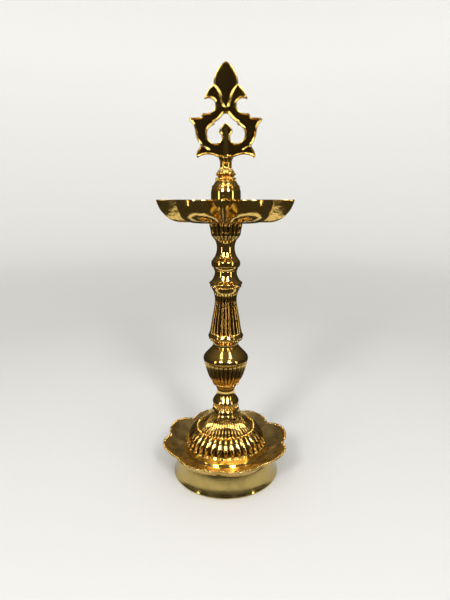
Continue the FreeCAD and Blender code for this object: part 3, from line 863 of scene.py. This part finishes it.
def plate_mesh(outlines, half_thick):
    """Flat plate with holes, standing in the XZ plane, as a closed mesh."""
    data = bpy.data.curves.new("plate", "CURVE")
    data.dimensions = "2D"
    data.fill_mode = "BOTH"
    data.extrude = half_thick * MM
    for outline in outlines:
        spline = data.splines.new("POLY")
        spline.points.add(len(outline) - 1)
        for point, (across, up) in zip(spline.points, outline):
            point.co = (across * MM, up * MM, 0, 1)
        spline.use_cyclic_u = True
    thing = bpy.data.objects.new("plate", data)
    bpy.context.scene.collection.objects.link(thing)
    flat = bpy.data.meshes.new_from_object(thing.evaluated_get(bpy.context.evaluated_depsgraph_get()))
    bpy.data.objects.remove(thing)
    tool = bmesh.new()
    tool.from_mesh(flat)
    bmesh.ops.remove_doubles(tool, verts=tool.verts, dist=0.00001)
    bmesh.ops.recalc_face_normals(tool, faces=tool.faces)
    for vert in tool.verts:
        vert.co = Vector((vert.co.x, -vert.co.z, vert.co.y))
    tool.to_mesh(flat)
    tool.free()
    return flat


def even_quads(thing, voxel):
    """Voxel remesh, applied to the object's mesh."""
    modifier = thing.modifiers.new("remesh", "REMESH")
    modifier.mode = "VOXEL"
    modifier.voxel_size = voxel * MM
    bpy.context.view_layer.update()
    made = bpy.data.meshes.new_from_object(thing.evaluated_get(bpy.context.evaluated_depsgraph_get()))
    thing.modifiers.clear()
    thing.data = made


def distances(places, lines):
    """Distance from each place to the nearest point of a set of finely divided lines."""
    tree = KDTree(len(lines))
    for index, (across, up) in enumerate(lines):
        tree.insert((across, up, 0), index)
    tree.balance()
    return np.array([tree.find((across, up, 0))[2] for across, up in places])


def crest():
    """Crest: a pierced plate with a round rim along every edge, ridges between its leaves and
    recessed fields, on a short tenon."""
    box_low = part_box("crest_plate")[0].z / MM
    low = box_low + CREST_TENON
    outer = resample(mirrored(CREST_OUTLINE), 0.3)
    hole = resample(mirrored(CREST_HOLE), 0.3)
    thing = bpy.data.objects.new("crest_casting", plate_mesh([outer, hole], CREST_HALF))
    bpy.context.scene.collection.objects.link(thing)
    even_quads(thing, CREST_VOXEL)
    mesh = thing.data
    points = np.zeros(len(mesh.vertices) * 3)
    mesh.vertices.foreach_get("co", points)
    points = points.reshape(-1, 3) / MM
    flat = points[:, [0, 2]]
    edge = np.vstack([resample(outer, LINE_SPACING), resample(hole, LINE_SPACING)])
    from_edge = distances(flat, edge)
    rise = np.sqrt(1 - (1 - np.clip(from_edge / CREST_RIM, 0, 1)) ** 2)
    rim = CREST_EDGE + (CREST_HALF - CREST_EDGE) * rise
    fall = step_between(0.65, 1.35, from_edge)
    half = rim + (CREST_FIELD - CREST_HALF) * fall
    for path, width, height in CREST_RIDGES:
        line = resample(path, LINE_SPACING, closed=False)
        both = np.vstack([line, line * (-1, 1)])
        ridge = CREST_FIELD + height * np.exp(-((distances(flat, both) / width) ** 2))
        half = np.where(from_edge > 0.3, np.maximum(half, ridge), half)
    # Recessed fields, as a mask for the darker tone: partly dark oxide, partly painted shade.
    groove = step_between(1.3, 0.95, half) * step_between(0.6, 1.0, from_edge)
    points[:, 1] *= np.minimum(half, CREST_HALF) / CREST_HALF
    points[:, 2] += low
    mesh.vertices.foreach_set("co", (points * MM).ravel())
    tool = bmesh.new()
    tool.from_mesh(mesh)
    tenon = turned([(0.3, box_low), (2.3, box_low), (2.3, low + 1.0), (0.3, low + 1.0)], 48,
                   spacing=0.4)
    corners = [tool.verts.new((x * MM, y * MM * 0.62, z * MM)) for x, y, z in tenon[0]]
    added = [tool.faces.new([corners[index] for index in face]) for face in tenon[1]]
    bmesh.ops.recalc_face_normals(tool, faces=added)
    tool.to_mesh(mesh)
    tool.free()
    store_groove(mesh, np.concatenate([groove, np.zeros(len(corners))]))
    place_piece(thing, "crest", "crest_plate", crest_finish)


# ---------------------------------------------------------------- fastenings

THREAD_PITCH = 1.5
THREAD_DEPTH = 0.42
STUD_CENTRE = 0.4


def threads(node, body, radius):
    """Threaded stud: a helical groove round a rod, with plain ends."""
    low, high = base_height(node), top_height(node)
    outline = [
        (STUD_CENTRE, low), (radius - 0.5, low), (radius, low + 0.6), (radius, high - 0.6),
        (radius - 0.5, high), (STUD_CENTRE, high),
    ]

    def ripple(angle, radial, height, zones):
        turn = (height / THREAD_PITCH - angle / FULL_TURN) % 1.0
        cut = (1 - np.abs(2 * turn - 1)) * (radial > radius - 0.55)
        cut = cut * step_between(low + 0.2, low + 1.0, height)
        cut = cut * step_between(high - 0.2, high - 1.0, height)
        return THREAD_DEPTH * cut, cut

    piece(node + "_thread", body, node, thread_finish,
          [turned(outline, 48, ripple, 0.16, 0)])


def washer_and_nut():
    """Washer and chamfered hexagon nut under the foot's bridge."""
    low, high = base_height("base_washer"), top_height("base_washer")
    disc = turned([
        (TAPPED_BORE, low), (13.7, low), (14.0, low + 0.3), (14.0, high), (TAPPED_BORE, high),
    ], 160)
    piece("washer_disc", "base", "base_washer", thread_finish, [disc])
    low, high = base_height("base_nut"), top_height("base_nut")
    flat = (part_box("base_nut")[1].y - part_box("base_nut")[0].y) / MM / 2
    corner = flat / math.cos(math.pi / 6)

    def hexagon(angle, radius, height, zones):
        offset = (angle + math.pi / 6) % (math.pi / 3) - math.pi / 6
        side = flat / np.cos(offset)
        end = np.minimum(height - low, high - height)
        side = np.minimum(side, corner - 0.5 + end * 1.2)
        share = np.clip((radius - TAPPED_BORE) / (corner - TAPPED_BORE), 0, 1)
        return share * (corner - side), 0 * radius

    nut = turned([
        (TAPPED_BORE, low), (corner, low), (corner, high), (TAPPED_BORE, high),
    ], 240, hexagon, 0.2, 0)
    piece("hexagon_nut", "base", "base_nut", thread_finish, [nut])


def seat_ring(node, body, radius, thickness, corner):
    """Thin ring with bevelled edges, on which one section seats on the next."""
    bevel = 0.25
    turning(node + "_turning", body, node, bored([
        (radius - corner, 0), (radius, bevel), (radius, thickness - bevel),
        (radius - corner, thickness),
    ]), spacing=0.14)


foot()
tray()
dome()
knop()
urn()
seat_ring("stem_ring", "stem_seat", 10.0, 1.0, 0.3)
column()
bell()
barrel()
seat_ring("bowl_ring", "bowl_seat", 7.7, 0.9, 0.2)
cup()
bowl()
collar()
crest_ring()
finial_neck()
crest()
for node, body, radius in (
    ("base_rod", "base", STUD),
    ("column_stud", "stem", STUD),
    ("stem_stud", "stem", STUD),
    ("bowl_stud", "bowl", STUD),
    ("finial_stud", "crest", FINIAL_STUD),
):
    threads(node, body, radius)
washer_and_nut()


# ---------------------------------------------------------------- stage

# Rings of the floor in metres, as (inner radius, outer radius, shown in reflections).
FLOOR_RINGS = [(0.0005, 0.059, True), (0.059, 0.135, False), (0.135, 0.185, True)]
GLOW_START = 0.5
FLOOR_STEPS = 7
BEND_RADIUS = 0.9
BEND_STEPS = 12
WALL_REACH = 2.2
WALL_TOP = 2.8
WALL_GLOW = 0.42
STAGE_SIDES = 96


def pale_paper():
    """Matt pale paper. Its attribute "glow" lifts the wall, which the lights hardly reach."""
    material = bpy.data.materials.new("pale_paper")
    material.use_nodes = True
    tree = material.node_tree
    shader = tree.nodes["Principled BSDF"]
    shader.inputs["Base Color"].default_value = (0.56, 0.555, 0.54, 1)
    shader.inputs["Roughness"].default_value = 0.8
    shader.inputs["Emission Color"].default_value = (1.0, 0.99, 0.96, 1)
    glow = tree.nodes.new("ShaderNodeAttribute")
    glow.attribute_name = "glow"
    tree.links.new(glow.outputs["Fac"], shader.inputs["Emission Strength"])
    return material


def stage_sheet(name, rings, material, in_reflections):
    """Sheet turned about the lamp's axis from rings of (radius, height, glow)."""
    turns = [FULL_TURN * step / STAGE_SIDES for step in range(STAGE_SIDES)]
    points = [
        (reach * math.cos(turn), reach * math.sin(turn), up)
        for reach, up, _ in rings for turn in turns
    ]
    faces = []
    for ring in range(len(rings) - 1):
        for side in range(STAGE_SIDES):
            here = ring * STAGE_SIDES + side
            after = ring * STAGE_SIDES + (side + 1) % STAGE_SIDES
            faces.append((here, after, after + STAGE_SIDES, here + STAGE_SIDES))
    mesh = bpy.data.meshes.new(name)
    mesh.from_pydata(points, [], faces)
    mesh.polygons.foreach_set("use_smooth", [True] * len(mesh.polygons))
    mesh.materials.append(material)
    attribute = mesh.attributes.new("glow", "FLOAT", "POINT")
    attribute.data.foreach_set("value", [glow for _, _, glow in rings for _ in turns])
    sheet = bpy.data.objects.new(name, mesh)
    bpy.context.scene.collection.objects.link(sheet)
    sheet.visible_glossy = in_reflections


def sweep():
    """Pale floor that curves up into a wall on every side. Polished brass shows only two rings
    of it near the lamp; the rest stays out of the reflections, as if dark flags stood there."""
    paper = pale_paper()
    for index, (inner, outer, shown) in enumerate(FLOOR_RINGS):
        stage_sheet("floor_ring_%d" % index, [(inner, 0, 0), (outer, 0, 0)], paper, shown)
    rings = [(FLOOR_RINGS[-1][1], 0, 0), (GLOW_START, 0, 0)]
    half_glow = 0.5 * WALL_GLOW
    bend_start = WALL_REACH - BEND_RADIUS
    for step in range(1, FLOOR_STEPS + 1):
        share = step / FLOOR_STEPS
        reach = GLOW_START + (bend_start - GLOW_START) * share
        rings.append((reach, 0, half_glow * share))
    for step in range(1, BEND_STEPS + 1):
        share = step / BEND_STEPS
        turn = math.pi / 2 * share
        reach = bend_start + BEND_RADIUS * math.sin(turn)
        rings.append((reach, BEND_RADIUS * (1 - math.cos(turn)), half_glow * (1 + share)))
    rings.append((WALL_REACH, WALL_TOP, WALL_GLOW))
    stage_sheet("floor_sweep", rings, paper, False)


def area_light(name, place, target, size, power, color=(1, 1, 1), reflected=True,
               lights_floor=True):
    """Rectangular light that faces its target and is never seen by the camera itself."""
    data = bpy.data.lights.new(name, "AREA")
    data.shape = "RECTANGLE"
    data.size, data.size_y = size
    data.energy = power
    data.color = color
    light = bpy.data.objects.new(name, data)
    light.location = place
    direction = Vector(target) - Vector(place)
    light.rotation_euler = direction.to_track_quat("-Z", "Y").to_euler()
    light.visible_camera = False
    light.visible_glossy = reflected
    light.visible_diffuse = lights_floor
    bpy.context.scene.collection.objects.link(light)


def room():
    """A dim room: nearly dark at and below the lamp's level, a warm pale ceiling above."""
    world = bpy.data.worlds.new("room")
    world.use_nodes = True
    nodes = world.node_tree.nodes
    links = world.node_tree.links
    split = nodes.new("ShaderNodeSeparateXYZ")
    links.new(nodes.new("ShaderNodeTexCoord").outputs["Generated"], split.inputs["Vector"])
    rise = nodes.new("ShaderNodeMapRange")
    rise.interpolation_type = "SMOOTHSTEP"
    rise.inputs["From Min"].default_value = 0.15
    rise.inputs["From Max"].default_value = 1.0
    rise.inputs["To Min"].default_value = 0.045
    rise.inputs["To Max"].default_value = 0.15
    links.new(split.outputs["Z"], rise.inputs["Value"])
    background = nodes["Background"]
    background.inputs["Color"].default_value = (1.0, 0.90, 0.74, 1)
    links.new(rise.outputs["Result"], background.inputs["Strength"])
    bpy.context.scene.world = world


def lighting():
    """Two softboxes in front, left and right, a strip by each, two windows high overhead and
    a fill that the brass does not reflect."""
    middle = (0, 0, 0.13)
    warm = (1.0, 0.86, 0.66)
    area_light("key_left", (-0.50, -0.95, 0.85), middle, (0.20, 0.40), 9)
    area_light("key_right", (0.36, -0.95, 0.85), middle, (0.18, 0.40), 9)
    area_light("strip_left", (-0.42, -0.30, 0.22), middle, (0.03, 0.34), 0.27, warm,
               lights_floor=False)
    area_light("strip_right", (0.42, -0.30, 0.22), middle, (0.03, 0.34), 0.27, warm,
               lights_floor=False)
    area_light("window_left", (-0.25, -0.25, 1.15), middle, (0.12, 0.45), 1.2)
    area_light("window_right", (0.25, -0.25, 1.15), middle, (0.12, 0.45), 1.2)
    area_light("floor_fill", (0.0, 0.0, 1.9), (0, 0, 0), (2.6, 2.6), 13, reflected=False)


CAMERA_DISTANCE = 0.3311
CAMERA_TILT = 12.59


def camera():
    """Stands level with the bowl's rim, close in front, looking down the stem."""
    data = bpy.data.cameras.new("camera")
    data.lens = 27.0
    data.sensor_width = 36.0
    data.clip_start = 0.01
    view = bpy.data.objects.new("camera", data)
    view.location = (-0.0006, -CAMERA_DISTANCE, top_height("oil_bowl") * MM)
    view.rotation_euler = (math.radians(90 - CAMERA_TILT), 0, 0)
    bpy.context.scene.collection.objects.link(view)
    bpy.context.scene.camera = view


sweep()
room()
lighting()
camera()
bpy.context.scene.view_settings.view_transform = "Standard"
